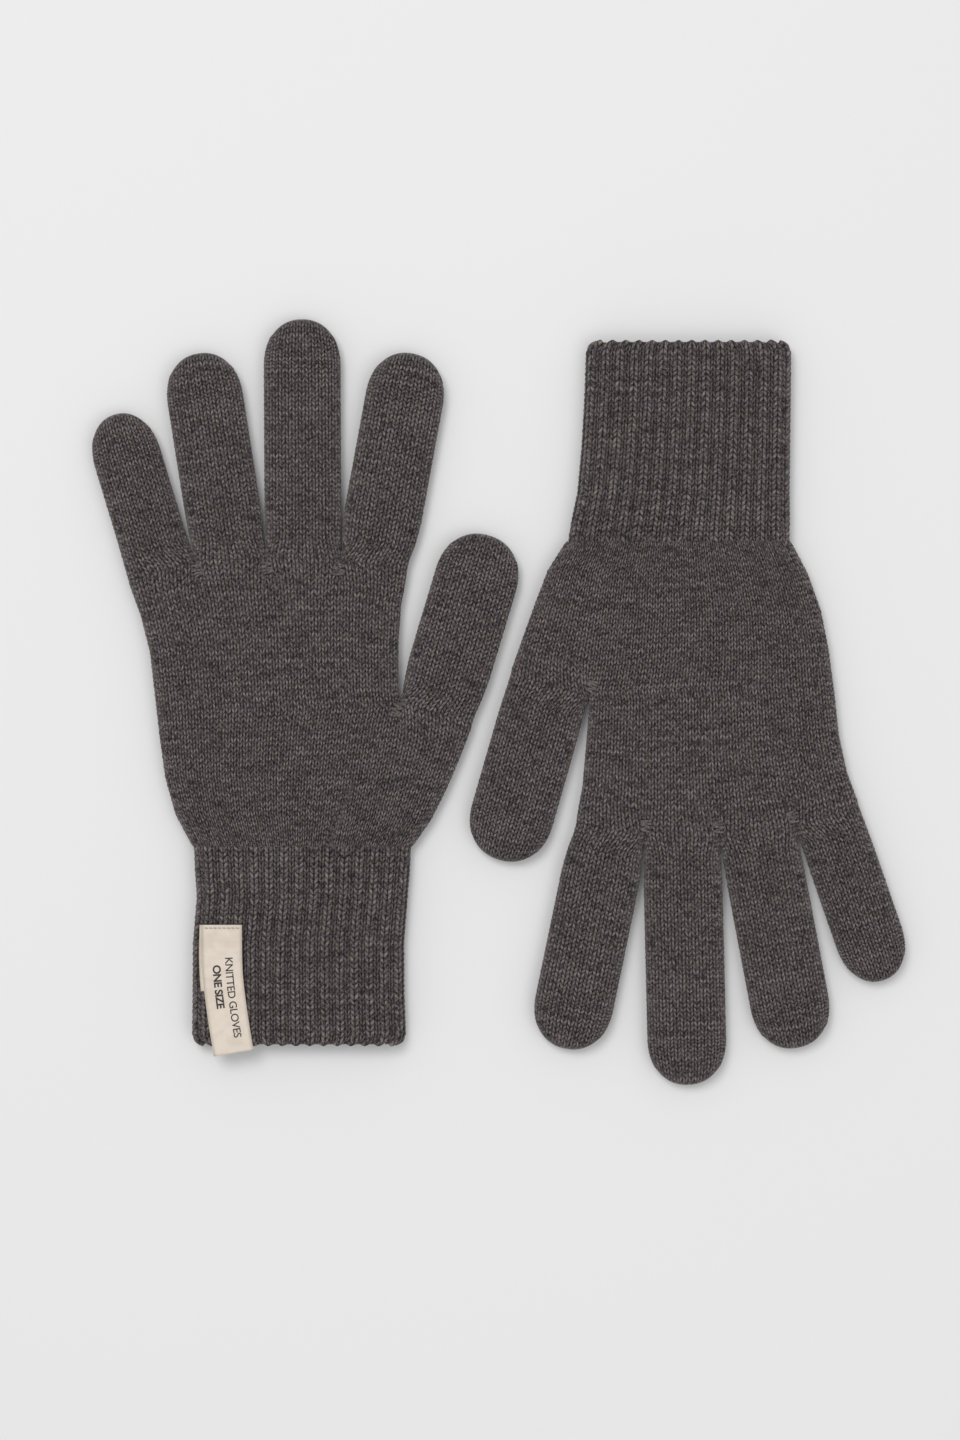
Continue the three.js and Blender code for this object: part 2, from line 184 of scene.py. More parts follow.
# The view and its light
LENS = 85
SENSOR = 36
VIEW_LONG_SIDE = 0.4959         # of the ground that the camera sees
VIEW_CENTRE = Vector((-0.0065, -0.0062))
GROUND = (0.79, 0.79, 0.79)
GROUND_DROP = 0.6 * MM          # the stage lies just below the lowest yarn
LAMPS = (                       # name, place, size in metres and watts
    ("key", (-0.5, 0.7, 1.9), 0.9, 17),
    ("fill", (0.8, -0.6, 1.9), 1.2, 7),
)
SKY = 0.58                      # strength of the white world


# ------------------------------------------------------------------------------- materials

class Socket:
    """A value or colour in a node tree, so that a material reads as a formula."""

    def __init__(self, maker, out, colour=False):
        self.maker, self.out, self.colour = maker, out, colour

    def _join(self, other, operation):
        wide = self.colour or (isinstance(other, Socket) and other.colour) or isinstance(other, tuple)
        kind = "ShaderNodeVectorMath" if wide else "ShaderNodeMath"
        node = self.maker.tree.nodes.new(kind)
        node.operation = operation
        self.maker.feed(node.inputs[0], self)
        self.maker.feed(node.inputs[1], other)
        return Socket(self.maker, node.outputs[0], wide)

    def __add__(self, other):
        return self._join(other, "ADD")

    def __mul__(self, other):
        return self._join(other, "MULTIPLY")

    __radd__, __rmul__ = __add__, __mul__


class Maker:
    """One material's node tree."""

    def __init__(self, name):
        self.material = bpy.data.materials.new(name)
        self.material.use_nodes = True
        self.tree = self.material.node_tree
        self.shader = self.tree.nodes["Principled BSDF"]

    def feed(self, slot, value):
        """Links a socket, or sets a value: one number fills every part of a vector or colour."""
        if isinstance(value, Socket):
            self.tree.links.new(value.out, slot)
        elif isinstance(value, tuple) and len(slot.default_value) == 4:
            slot.default_value = (*value, 1)
        elif hasattr(slot.default_value, "__len__") and not isinstance(value, tuple):
            slot.default_value = [value] * len(slot.default_value)
        else:
            slot.default_value = value

    def node(self, kind, output=0, colour=False, settings=(), **inputs):
        """Any node, by its type, its settings and the values or links of its sockets."""
        made = self.tree.nodes.new(kind)
        for key, value in dict(settings).items():
            setattr(made, key, value)
        for key, value in inputs.items():
            self.feed(made.inputs[key.replace("_", " ")], value)
        return Socket(self, made.outputs[output], colour)

    def place(self):
        return self.node("ShaderNodeTexCoord", "Object", colour=True)

    def uv(self, layer):
        return self.node("ShaderNodeUVMap", "UV", colour=True, settings={"uv_map": layer})

    def noise(self, where, scale, detail=2, rough=0.5):
        return self.node("ShaderNodeTexNoise", "Fac", Vector=where,
                         Scale=scale, Detail=detail, Roughness=rough)

    def mix(self, share, first, second):
        made = self.tree.nodes.new("ShaderNodeMix")
        made.data_type = "RGBA"
        self.feed(made.inputs["Factor"], share)
        self.feed(made.inputs[6], first)
        self.feed(made.inputs[7], second)
        return Socket(self, made.outputs[2], True)

    def step(self, value, low, high):
        return self.node("ShaderNodeMapRange", Value=value, From_Min=low, From_Max=high,
                         settings={"interpolation_type": "SMOOTHSTEP"})

    def along(self, where, axis):
        return self.node("ShaderNodeSeparateXYZ", axis, Vector=where)

    def maths(self, operation, value):
        return self.node("ShaderNodeMath", Value=value, settings={"operation": operation})

    def groove_shade(self, stitch):
        """Painted shade: 1 on a yarn leg, less where two meet: at a stitch's sides and middle, and at each
        course.
        """
        side = self.maths("ABSOLUTE", self.maths("SINE", self.along(stitch, 0) * (2 * math.pi)))
        course = self.maths("ABSOLUTE", self.maths("SINE", self.along(stitch, 1) * math.pi))
        leg = self.step(side, 0.0, 0.8)
        crossing = self.step(course, 0.0, 0.7)
        return (leg * 0.8 + 0.2) * (crossing * 0.72 + 0.28)

    def bump(self, height, depth, strength=1.0):
        made = self.node("ShaderNodeBump", Height=height, Distance=depth, Strength=strength)
        self.tree.links.new(made.out, self.shader.inputs["Normal"])

    def finish(self, colour, **constants):
        self.feed(self.shader.inputs["Base Color"], colour)
        for key, value in constants.items():
            self.feed(self.shader.inputs[key.replace("_", " ")], value)
        return self.material


def marled_yarn(name, paint_groove_shade=True, ribbed=False):
    """Grey-brown wool spun from light and dark fibres: its shade drifts along each course of stitches;
    painted shade darkens it where yarns meet, and in the rib valleys when ribbed.
    """
    m = Maker(name)
    stitch = m.uv("stitches")
    place = m.place()
    wale = m.along(stitch, 0)
    course = m.maths("FLOOR", m.along(stitch, 1))
    drift = m.node("ShaderNodeCombineXYZ", colour=True, X=wale * 0.27, Y=course * 2.7)
    streak = m.noise(drift, 1.0, detail=2, rough=0.7)
    strand = m.noise(stitch * (2.6, 1.1, 1.0), 1.0, detail=2, rough=0.6)
    ply = m.noise(place, 1300, detail=2)
    fibre = m.noise(place, 4800, detail=1)
    tone = m.step(streak * 0.19 + strand * 0.35 + ply * 0.33 + fibre * 0.13, 0.39, 0.62)
    warm = m.step(m.noise(stitch * (0.5, 0.9, 1.0), 1.3), 0.4, 0.62)
    dark = m.mix(warm, (0.023, 0.0190, 0.0206), (0.028, 0.0236, 0.0215))
    light = m.mix(warm, (0.232, 0.194, 0.204), (0.250, 0.213, 0.194))
    colour = m.mix(tone, dark, light)
    # Painted shade in the grooves where the yarns meet.
    if paint_groove_shade:
        colour = colour * m.groove_shade(stitch)
    # Painted shade: the rib valleys, every second wale round the cuff, are made up to 18% darker.
    if ribbed:
        crest = m.step(m.maths("SINE", wale * math.pi), -0.8, 0.1)
        colour = colour * (crest * 0.18 + 0.82)
    m.bump(fibre * 0.6 + ply, 0.25 * MM, 0.9)
    return m.finish(colour, Roughness=0.92, Specular_IOR_Level=0.15,
                    Sheen_Weight=0.25, Sheen_Roughness=0.5)


def ribbon():
    """Cream woven tape: a fine cross rib between two tighter selvedges, a little darker there, with
    painted shade in the rib's hollows.
    """
    m = Maker("cream_tape")
    weave = m.uv("weave")
    across = m.along(weave, 0)
    weft = m.maths("SINE", m.along(weave, 1) * (2 * math.pi / 0.42))
    warp = m.maths("SINE", across * (2 * math.pi / 0.3))
    edge = m.step(m.maths("ABSOLUTE", across), 5.6, 6.5)
    wear = m.noise(m.place(), 240, detail=3)
    cloth = m.mix(m.step(wear, 0.3, 0.7), (0.67, 0.588, 0.50), (0.755, 0.668, 0.575))
    cloth = m.mix(edge * 0.5, cloth, (0.57, 0.50, 0.41))
    m.bump(weft * 0.5 + warp * (0.2 + edge * 0.6), 0.06 * MM, 0.7)
    # Painted shade: the colour falls by up to 6% in the hollows of the cross rib.
    cloth = cloth * (weft * 0.03 + 0.97)
    return m.finish(cloth, Roughness=0.62, Sheen_Weight=0.15, Specular_IOR_Level=0.3)


def thread(name, colour, roughness):
    """A thin twisted thread, with painted shade that makes it a little darker between its turns."""
    m = Maker(name)
    strand = m.uv("stitches")
    twist = m.maths("SINE", m.along(strand, 0) * (2 * math.pi) + m.along(strand, 1) * 9)
    shade = m.noise(m.place(), 900, detail=2)
    m.bump(twist, 0.08 * MM, 0.8)
    dark = tuple(c * 0.75 for c in colour)
    # Painted shade: up to a fifth darker where the twist dips between turns.
    return m.finish(m.mix(shade, dark, colour) * (twist * 0.1 + 0.9), Roughness=roughness)


# ------------------------------------------------------------------------------- meshes

def finish_mesh(name, mesh, material):
    """A smooth-shaded object at the origin, in one material."""
    obj = bpy.data.objects.new(name, mesh)
    bpy.context.scene.collection.objects.link(obj)
    mesh.materials.append(material)
    mesh.polygons.foreach_set("use_smooth", np.ones(len(mesh.polygons), bool))
    return obj


def grid_mesh(name, grids, layer="stitches"):
    """One mesh from grids of points (rows, columns, 3), each with its pattern places (rows, columns, 2).

    Edges that meet are welded.
    """
    whole = bmesh.new()
    for positions, pattern in grids:
        rows, columns = positions.shape[:2]
        bm = bmesh.new()
        bmesh.ops.create_grid(bm, x_segments=columns - 1, y_segments=rows - 1, size=1)
        mesh = bpy.data.meshes.new("grid")
        bm.to_mesh(mesh)
        bm.free()
        flat = np.empty(len(mesh.vertices) * 3)
        mesh.vertices.foreach_get("co", flat)
        place = (flat.reshape(-1, 3)[:, :2] + 1) / 2 * (columns - 1, rows - 1)
        column, row = np.rint(place).astype(int).T
        mesh.vertices.foreach_set("co", positions[row, column].ravel())
        corner = np.empty(len(mesh.loops), int)
        mesh.loops.foreach_get("vertex_index", corner)
        uv = mesh.uv_layers.new(name=layer)
        uv.data.foreach_set("uv", pattern[row[corner], column[corner]].ravel())
        whole.from_mesh(mesh)
        bpy.data.meshes.remove(mesh)
    bmesh.ops.remove_doubles(whole, verts=whole.verts, dist=WELD)
    bmesh.ops.recalc_face_normals(whole, faces=whole.faces)
    mesh = bpy.data.meshes.new(name)
    whole.to_mesh(mesh)
    whole.free()
    return mesh


def normals_of(p):
    """Outward unit normals of a grid whose columns go round a tube clockwise, seen from its tip."""
    ahead = np.gradient(p, axis=0)
    around = np.gradient(p, axis=1)
    n = np.cross(around, ahead)
    return n / np.maximum(np.linalg.norm(n, axis=2, keepdims=True), 1e-12)


def sealed(n):
    """The same normals, with the first and the last column, which meet, given one direction."""
    n[:, [0, -1]] = (n[:, :1] + n[:, -1:]) / 2
    return n


# ------------------------------------------------------------------------------- reading the frame

def smooth(t):
    """An even rise from 0 to 1 that starts and ends level."""
    t = np.clip(t, 0, 1)
    return t * t * (3 - 2 * t)


class Outline:
    """A CAD node in its glove's own frame: the wrist on y = 0, fingers along +y, the thumb towards +x."""

    def __init__(self, glove, node):
        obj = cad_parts[node]
        co = np.array([v.co for v in obj.data.vertices])
        self.points = np.c_[glove.local(co[:, :2]), co[:, 2]]
        self.edges = self.points[np.array([e.vertices for e in obj.data.edges])]

    def span(self, along, across, at):
        """The least and greatest reach across, where the node is cut at a distance along a direction."""
        far = self.edges[:, :, :2] @ along - at
        cut = self.edges[far[:, 0] * far[:, 1] <= 0][:, :, :2]
        d = cut @ along - at
        drop = d[:, :1] - d[:, 1:]
        share = (d[:, :1] / np.where(np.abs(drop) < 1e-9, 1, drop)).clip(0, 1)
        side = (cut[:, 0] + (cut[:, 1] - cut[:, 0]) * share) @ across
        return side.min(), side.max()


class Digit:
    """The outline of a finger or thumb: its two root corners, its tip and its two sides."""

    def __init__(self, glove, name):
        shape = Outline(glove, f"{glove.side}_{name}")
        plan = np.unique(shape.points[:, :2].round(6), axis=0)
        away = np.linalg.svd(plan - plan.mean(0), full_matrices=False)[2][0]
        away = away * np.sign(away[1])
        for _ in range(3):
            across = np.array([away[1], -away[0]])
            corners = [plan[np.argmax(plan @ (side * across - CORNER_PULL * away))] for side in (-1, 1)]
            root = (corners[0] + corners[1]) / 2
            tip = plan[(plan @ away) > (plan @ away).max() - CAP / TIP_SHARE]
            away = tip.mean(0) - root
            away = away / np.linalg.norm(away)
        self.ahead = away
        self.across = np.array([away[1], -away[0]])
        self.left, self.right = corners
        self.root = root
        self.length = (plan @ away).max() - root @ away
        start = max(self.left @ away, self.right @ away)
        reach = np.linspace(start + INSIDE, root @ away + self.length - CAP, SECTIONS)
        spans = np.array([shape.span(away, self.across, s) for s in reach])
        self.side_at = reach
        self.lefts, self.rights = spans.T
        self.girth = spans[-1, 1] - spans[-1, 0]

    def rim(self, which, t):
        """A point on one side, from its root corner (t = 0) to where the tip starts to round (t = 1)."""
        corner = self.left if which == "left" else self.right
        sides = self.lefts if which == "left" else self.rights
        at = corner @ self.ahead + t * (self.side_at[-1] - corner @ self.ahead)
        runs = np.r_[corner @ self.ahead, self.side_at]
        reach = np.interp(at, runs, np.r_[corner @ self.across, sides])
        return self.ahead * at + self.across * reach


class Glove:
    """One glove's outlines and crotches, in its own frame, and the way from that frame to the world."""

    def __init__(self, side):
        self.side = side
        centre = {n: sum(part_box(f"{side}_{n}"), Vector()) / 2 for n in ("hand", "cuff", "middle_finger")}
        up = 1 if centre["middle_finger"].y > centre["cuff"].y else -1
        self.up = np.array([0.0, up])
        self.right = np.array([up, 0.0])
        low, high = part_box(f"{side}_hand")
        cuff_low, cuff_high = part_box(f"{side}_cuff")
        wrist_y = low.y if up > 0 else high.y
        self.origin = np.array([(cuff_low.x + cuff_high.x) / 2, wrist_y])
        self.height = high.z - low.z
        self.mid = (high.z + low.z) / 2
        self.hand = Outline(self, f"{side}_hand")
        self.digits = {n: Digit(self, n) for n in DIGITS}
        fingers = [self.digits[n] for n in DIGITS[:4]]
        self.crotches = [(a.right + b.left) / 2 for a, b in zip(fingers, fingers[1:])]
        self.little_root = fingers[0].left
        self.index_root = fingers[3].right
        self.thumb_crotch = self.digits["thumb"].left
        self.thumb_root = self.digits["thumb"].right

    def local(self, plan):
        """World places in plan, in the glove's own frame."""
        d = np.asarray(plan) - self.origin
        return np.stack([d @ self.right, d @ self.up], -1)

    def world(self, x, y, z):
        """Points of the glove's own frame in the world."""
        plan = self.origin + np.multiply.outer(x, self.right) + np.multiply.outer(y, self.up)
        return np.concatenate([plan, np.asarray(z)[..., None]], -1)

    def spot(self, point):
        """The place in the frame of one point, half-way up the cloth."""
        return self.world(np.array(point[:1]), np.array(point[1:]), np.array([self.mid]))[0]

    def rim(self, which, y):
        """The hand's outer edge at height y, as a point."""
        low, high = self.hand.span(np.array([0.0, 1.0]), np.array([1.0, 0.0]), y)
        return np.array([low if which == "left" else high, y])


# ------------------------------------------------------------------------------- rows of stitches

def section(a, b, columns, rim=SOFT_RIM):
    """Points evenly round the upper face of flat cloth from a to b: x, y and the share of full height."""
    width = np.linalg.norm(b - a)
    rim = min(rim, width / 2)
    angle = np.linspace(0, math.pi / 2, RIM_STEPS)
    out = rim * (1 - np.cos(angle))
    x = np.r_[out, width - out[::-1]]
    h = np.r_[np.sin(angle), np.sin(angle)[::-1]]
    arc = np.r_[0, np.cumsum(np.hypot(np.diff(x), np.diff(h) * HALF_HEIGHT))]
    even = np.linspace(0, arc[-1], columns + 1)
    x = np.interp(even, arc, x)
    h = np.interp(even, arc, h)
    plan = a + (b - a) * (x / width)[:, None]
    return np.c_[plan, h]


def crowded(root, extra_left, extra_right):
    """A root row with the side stitches that are picked up at a crotch still gathered into one point."""
    before = np.repeat(root[:1], extra_left, 0)
    after = np.repeat(root[-1:], extra_right, 0)
    return np.concatenate([before, root, after])


def evenly(corners, counts):
    """A row of straight stretches between corners, evenly spaced but for its two rounded outer rims."""
    stretches = list(zip(corners, corners[1:]))
    steps = [a + (b - a) * np.linspace(0, 1, n + 1)[:, None] for (a, b), n in zip(stretches, counts)]
    plan = np.concatenate([steps[0][:1]] + [step[1:] for step in steps])
    total = sum(counts)
    width = sum(np.linalg.norm(b - a) for a, b in stretches)
    flat = section(np.zeros(2), np.array([width, 0.0]), total)
    at = flat[:, 0] / width * total
    index = np.arange(total + 1)
    return np.c_[np.interp(at, index, plan[:, 0]), np.interp(at, index, plan[:, 1]), flat[:, 2]]


def patch_rows(bottom, even_top, top, edges, count, groove):
    """Rows of a hand from bottom to top between two edges; the last ones gather from even_top into top."""
    lean = smooth(np.linspace(0, 1, len(bottom)))[:, None]
    rows = []
    for t in np.linspace(0, 1, count + 1):
        row = bottom * (1 - t) + even_top * t
        pull_left = edges[0](t) - row[0, :2]
        pull_right = edges[1](t) - row[-1, :2]
        row[:, :2] += pull_left * (1 - lean) + pull_right * lean
        rows.append(row + (top - even_top) * groove(t))
    return np.array(rows)


def digit_rows(digit, root, columns, courses):
    """Every row of a digit: its straight part, then a tip that closes along its round end."""
    straight = digit.side_at[-1] - digit.root @ digit.ahead
    full = straight + CAP
    rows = []
    count = courses * ROWS
    for k in range(count + 1):
        s = full * k / count
        if s <= straight:
            t = s / straight
            row = section(digit.rim("left", t), digit.rim("right", t), columns)
            gather = 1 - smooth(s / GATHERED)
            carried = np.c_[root[:, :2] + digit.ahead * s, root[:, 2]]
            row = row * (1 - gather) + carried * gather
        else:
            row = tip_row(digit, (s - straight) / CAP, columns)
        rows.append(row)
    return np.array(rows)


def rounded(share):
    """The rounded outline of a tip: 1 where it starts, 0 at its end."""
    return (1 - np.clip(share, 0, 1) ** CAP_POWER) ** (1 / CAP_POWER)


def tip_row(digit, t, columns):
    """One row of a tip, from its start (t = 0) to the closing row (t = 1)."""
    half = digit.girth / 2
    centre = digit.ahead * digit.side_at[-1] + digit.across * (digit.lefts[-1] + digit.rights[-1]) / 2
    rim_run = t * (CAP - CAP_SIDE)
    rim_half = half * rounded(rim_run / CAP)
    row = section(np.array([-rim_half, 0.0]), np.array([rim_half, 0.0]), columns, min(SOFT_RIM, rim_half))
    last_half = half * rounded((CAP - CAP_SIDE) / CAP)
    across = row[:, 0] / rim_half * last_half
    arch = CAP * rounded(np.abs(across / half)) - (CAP - CAP_SIDE)
    run = rim_run + arch * t ** ARCH_POWER
    close = np.clip((t * CAP - (CAP - CLOSING)) / CLOSING, 0, 1)
    h = row[:, 2] * np.sqrt(1 - close ** 2)
    plan = centre + np.outer(run, digit.ahead) + np.outer(row[:, 0], digit.across)
    return np.c_[plan, h]


def swell(x, y):
    """The slow unevenness of cloth that lies as it fell: waves some 70 to 150 mm long."""
    crossed = np.sin(x * 95 + 1.3) * np.sin(y * 70 + 0.4)
    slanted = np.sin(x * 41 - y * 57 + 2.1)
    return SWELL * crossed + SLANTED_SWELL * slanted


def crease(x, y):
    """The depth of the left glove's crease at a place."""
    run = CREASE_END - CREASE_START
    x, y = x - CREASE_START[0], y - CREASE_START[1]
    share = ((x * run[0] + y * run[1]) / (run @ run)).clip(0, 1)
    off = np.hypot(x - share * run[0], y - share * run[1])
    return CREASE_DEPTH * np.exp(-(off / CREASE_WIDTH) ** 2)


def tube(glove, rows):
    """Closed rings of points round a tube: along the upper face from left to right, then back under."""
    top, under = rows, rows[:, ::-1][:, 1:]
    x = np.concatenate([top[..., 0], under[..., 0]], 1)
    y = np.concatenate([top[..., 1], under[..., 1]], 1)
    lift = glove.height / 2 - RELIEF * BURIED
    uneven = swell(top[..., 0], top[..., 1])
    if glove.side == "left":
        uneven = uneven - crease(top[..., 0], top[..., 1])
    rise = np.concatenate([top[..., 2] * (lift + uneven), -under[..., 2] * lift], 1)
    rise = rise * (1 - HAND_THINS * (1 - smooth(y / DRAWN_IN)))
    return glove.world(x, y, glove.mid + rise)


def yarn_relief(u, row):
    """Height of the yarn, in reliefs, for columns at u stitches and mesh rows counted up."""
    between = np.isclose(u % 1, 0) | np.isclose(u % 1, 1)
    middle = np.isclose(u % 1, 0.5)
    leg = np.where(between, GROOVE, np.where(middle, FOLD, LEG))
    return leg[None, :] + LEG_PROFILE[row % ROWS][:, None]


def stitch_grid(base, courses, bottom_edge=False, closed_tip=False, wale_lift=None):
    """Turns rings of cloth, one course more than it needs, into stockinette: a V of two legs per stitch.

    bottom_edge flattens the first course into an even edge, closed_tip flattens the last into a seam, and
    wale_lift raises or lowers whole wales.
    """
    columns = base.shape[1]
    u = np.arange(columns) / COLUMNS
    legs = np.abs(2 * (u % 1) - 1)
    first = -ROWS if bottom_edge else 0
    k = np.arange(first, courses * ROWS + 1)
    height = np.clip(k[:, None] + LEAN * ROWS * legs[None, :], 0, len(base) - 1)
    low = np.minimum(height.astype(int), len(base) - 2)
    share = (height - low)[..., None]
    column = np.arange(columns)[None, :]
    p = base[low, column] * (1 - share) + base[low + 1, column] * share
    n = sealed(normals_of(base))[low, column]
    wale, course = np.floor(u)[None, :], (k // ROWS)[:, None]
    uneven = 1 + UNEVEN_STITCH * np.sin(WALE_SCATTER * wale + COURSE_SCATTER * course)
    lift = RELIEF * yarn_relief(u, k) * uneven * (RIM_RELIEF + (1 - RIM_RELIEF) * np.abs(n[..., 2]))
    if bottom_edge:
        lift = lift * smooth(height / ROWS)
    if closed_tip:
        lift = lift * smooth((len(base) - 1 - height) / ROWS)
    if wale_lift is not None:
        lift = lift + wale_lift(u[None, :], height)
    p = p + n * lift[..., None]
    p[:, -1] = p[:, 0]
    return p, np.stack(np.broadcast_arrays(u[None, :], k[:, None] / ROWS), -1)


def knit(name, glove, rows, courses, material, **ends):
    """A knitted tube over rows of places, as a finished piece."""
    grid = stitch_grid(tube(glove, rows), courses, **ends)
    return finish_mesh(name, grid_mesh(name, [grid]), material)


# ------------------------------------------------------------------------------- the gloves

def wales_under(digit):
    """How many stitches of the hand run into a digit."""
    return round(np.linalg.norm(digit.right - digit.left) / (WALE * ROOT_SQUEEZE))


def make_digits(glove, yarn):
    """The digits' pieces. Returns each one's root row and first course, which the hand runs into."""
    roots, firsts = {}, {}
    for i, name in enumerate(DIGITS):
        digit = glove.digits[name]
        extra_left, extra_right = PICKED_UP[name]
        wales = wales_under(digit)
        left = glove.crotches[i - 1] if name in DIGITS[1:4] else digit.left
        right = glove.crotches[i] if name in DIGITS[:3] else digit.right
        roots[name] = section(left, right, wales * COLUMNS)
        root = crowded(roots[name], extra_left * COLUMNS, extra_right * COLUMNS)
        total = wales + extra_left + extra_right
        full = digit.side_at[-1] - digit.root @ digit.ahead + CAP
        courses = round(full / FINGER_COURSE)
        rows = digit_rows(digit, root, total * COLUMNS, courses)
        inner = slice(extra_left * COLUMNS, (extra_left + wales) * COLUMNS + 1)
        firsts[name] = rows[1:ROWS + 1, inner]
        piece = knit(f"{glove.side}_{name}_knit", glove, rows, courses, yarn, closed_tip=True)
        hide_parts(f"{glove.side}_{name}")
        start = glove.spot(digit.root)
        end = glove.spot(digit.root + digit.ahead * DIGIT_BEND)
        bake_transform(piece)
    return roots, firsts


def chain(parts):
    """Rows side by side; the points that two of them share are averaged."""
    joined = parts[0]
    for part in parts[1:]:
        shared = (joined[..., -1:, :] + part[..., :1, :]) / 2
        joined = np.concatenate([joined[..., :-1, :], shared, part[..., 1:, :]], -2)
    return joined


def make_hand(glove, roots, firsts, yarn):
    """Two patches of cloth: from the wrist to the thumb's crotch, and from there to the four fingers."""
    wrist_left = glove.rim("left", INSIDE)
    wrist_right = glove.rim("right", INSIDE)
    belt_left = glove.rim("left", glove.thumb_crotch[1] * BELT_DROP)
    counts = [len(roots[n]) - 1 for n in DIGITS]
    over_fingers = sum(counts[:4])
    top = chain([roots[n] for n in DIGITS[:4]])
    even_top = evenly([glove.little_root, *glove.crotches, glove.index_root], counts[:4])
    belt = section(belt_left, glove.thumb_crotch, over_fingers)
    low_top = chain([belt, roots["thumb"]])
    even_low_top = evenly([belt_left, glove.thumb_crotch, glove.thumb_root], [over_fingers, counts[4]])
    wrist = section(wrist_left, wrist_right, sum(counts))
    rib = (wrist[:, 0] - wrist_left[0]) / (wrist_right[0] - wrist_left[0]) * RIBS - CREST_SHARE / 2
    wrist[:, 1] -= WRIST_WAVE * np.cos(2 * math.pi * rib)

    def edge(side, low, high):
        """The outer edge from low to high, as a function of the share of the way."""
        def at(t):
            point = low + (high - low) * t
            return glove.rim(side, point[1]) if 0 < t < 1 else point
        return at

    def groove_over(depth):
        """How far a row is gathered into the crotches above it, for a patch that is this deep."""
        return lambda t: np.clip(1 - (1 - t) * depth / CROTCH_REACH, 0, 1) ** GATHER_POWER

    depth = glove.thumb_crotch[1]
    low_courses = round(depth / HAND_COURSE)
    edges = edge("left", wrist_left, belt_left), edge("right", wrist_right, glove.thumb_root)
    low = patch_rows(wrist, even_low_top, low_top, edges, low_courses * ROWS, groove_over(depth))
    rise = glove.crotches[1][1] - depth
    high_courses = round(rise / HAND_COURSE)
    edges = (edge("left", belt_left, glove.little_root),
             edge("right", glove.thumb_crotch, glove.index_root))
    high = patch_rows(belt, even_top, top, edges, high_courses * ROWS, groove_over(rise))
    low = np.concatenate([low, chain([high[1:ROWS + 1], firsts["thumb"]])])
    high = np.concatenate([high, chain([firsts[n] for n in DIGITS[:4]])])
    lower = knit(f"{glove.side}_lower_hand_knit", glove, low, low_courses, yarn, bottom_edge=True)
    upper = knit(f"{glove.side}_upper_hand_knit", glove, high, high_courses, yarn)
    for piece in (lower, upper):
        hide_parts(f"{glove.side}_hand")
        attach(piece, f"{glove.side}_hand")


def crest_of(u):
    """1 on the middle of each rib's crest, 0 in its valley, at u stitches round the cuff."""
    return np.sin(np.clip(u % 2, 0, 1) * math.pi)


def cuff_rings(glove, hem, count):
    """Rings of points from the hem up into the wrist, with wider stitches on the crests than between."""
    shape = Outline(glove, f"{glove.side}_cuff")
    bottom = shape.points[:, 1].min()
    low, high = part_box(f"{glove.side}_cuff")
    middle = (low.z + high.z) / 2
    lift = (high.z - low.z) / 2 - RELIEF
    across = np.arange(2 * RIBS * COLUMNS + 1) / COLUMNS / 2
    in_rib = across % 1
    crest = in_rib * 2 * CREST_SHARE
    valley = 1 - (1 - in_rib) * 2 * (1 - CREST_SHARE)
    at = (np.floor(across) + np.where(in_rib < 0.5, crest, valley)) / RIBS
    index = np.arange(len(across)) / (len(across) - 1)
    rings = []
    for k in range(count + 1):
        y = hem + (WRIST_LAP - hem) * k / count
        cut = np.clip(y, bottom + HEM_INSIDE, -WRIST_INSIDE)
        left, right = shape.span(np.array([0.0, 1.0]), np.array([1.0, 0.0]), cut)
        short = max(0, HEM_CORNER - (y - hem))
        inset = HEM_CORNER - math.sqrt(HEM_CORNER ** 2 - short ** 2 * CORNER_SHARE)
        ends = np.array([[left + inset, y], [right - inset, y]])
        face = section(ends[0], ends[1], len(across) - 1, CUFF_RIM)
        face = np.stack([np.interp(at, index, face[:, i]) for i in range(3)], -1)
        tuck = 1 - CUFF_THINS * smooth((y + DRAWN_IN) / DRAWN_IN)
        under = face[::-1][1:]
        rise = np.r_[face[:, 2], -under[:, 2]] * lift * tuck
        plan = np.r_[face[:, :2], under[:, :2]]
        rings.append(np.c_[plan, middle + rise])
    ring = np.array(rings)
    return glove.world(ring[..., 0], ring[..., 1], ring[..., 2])


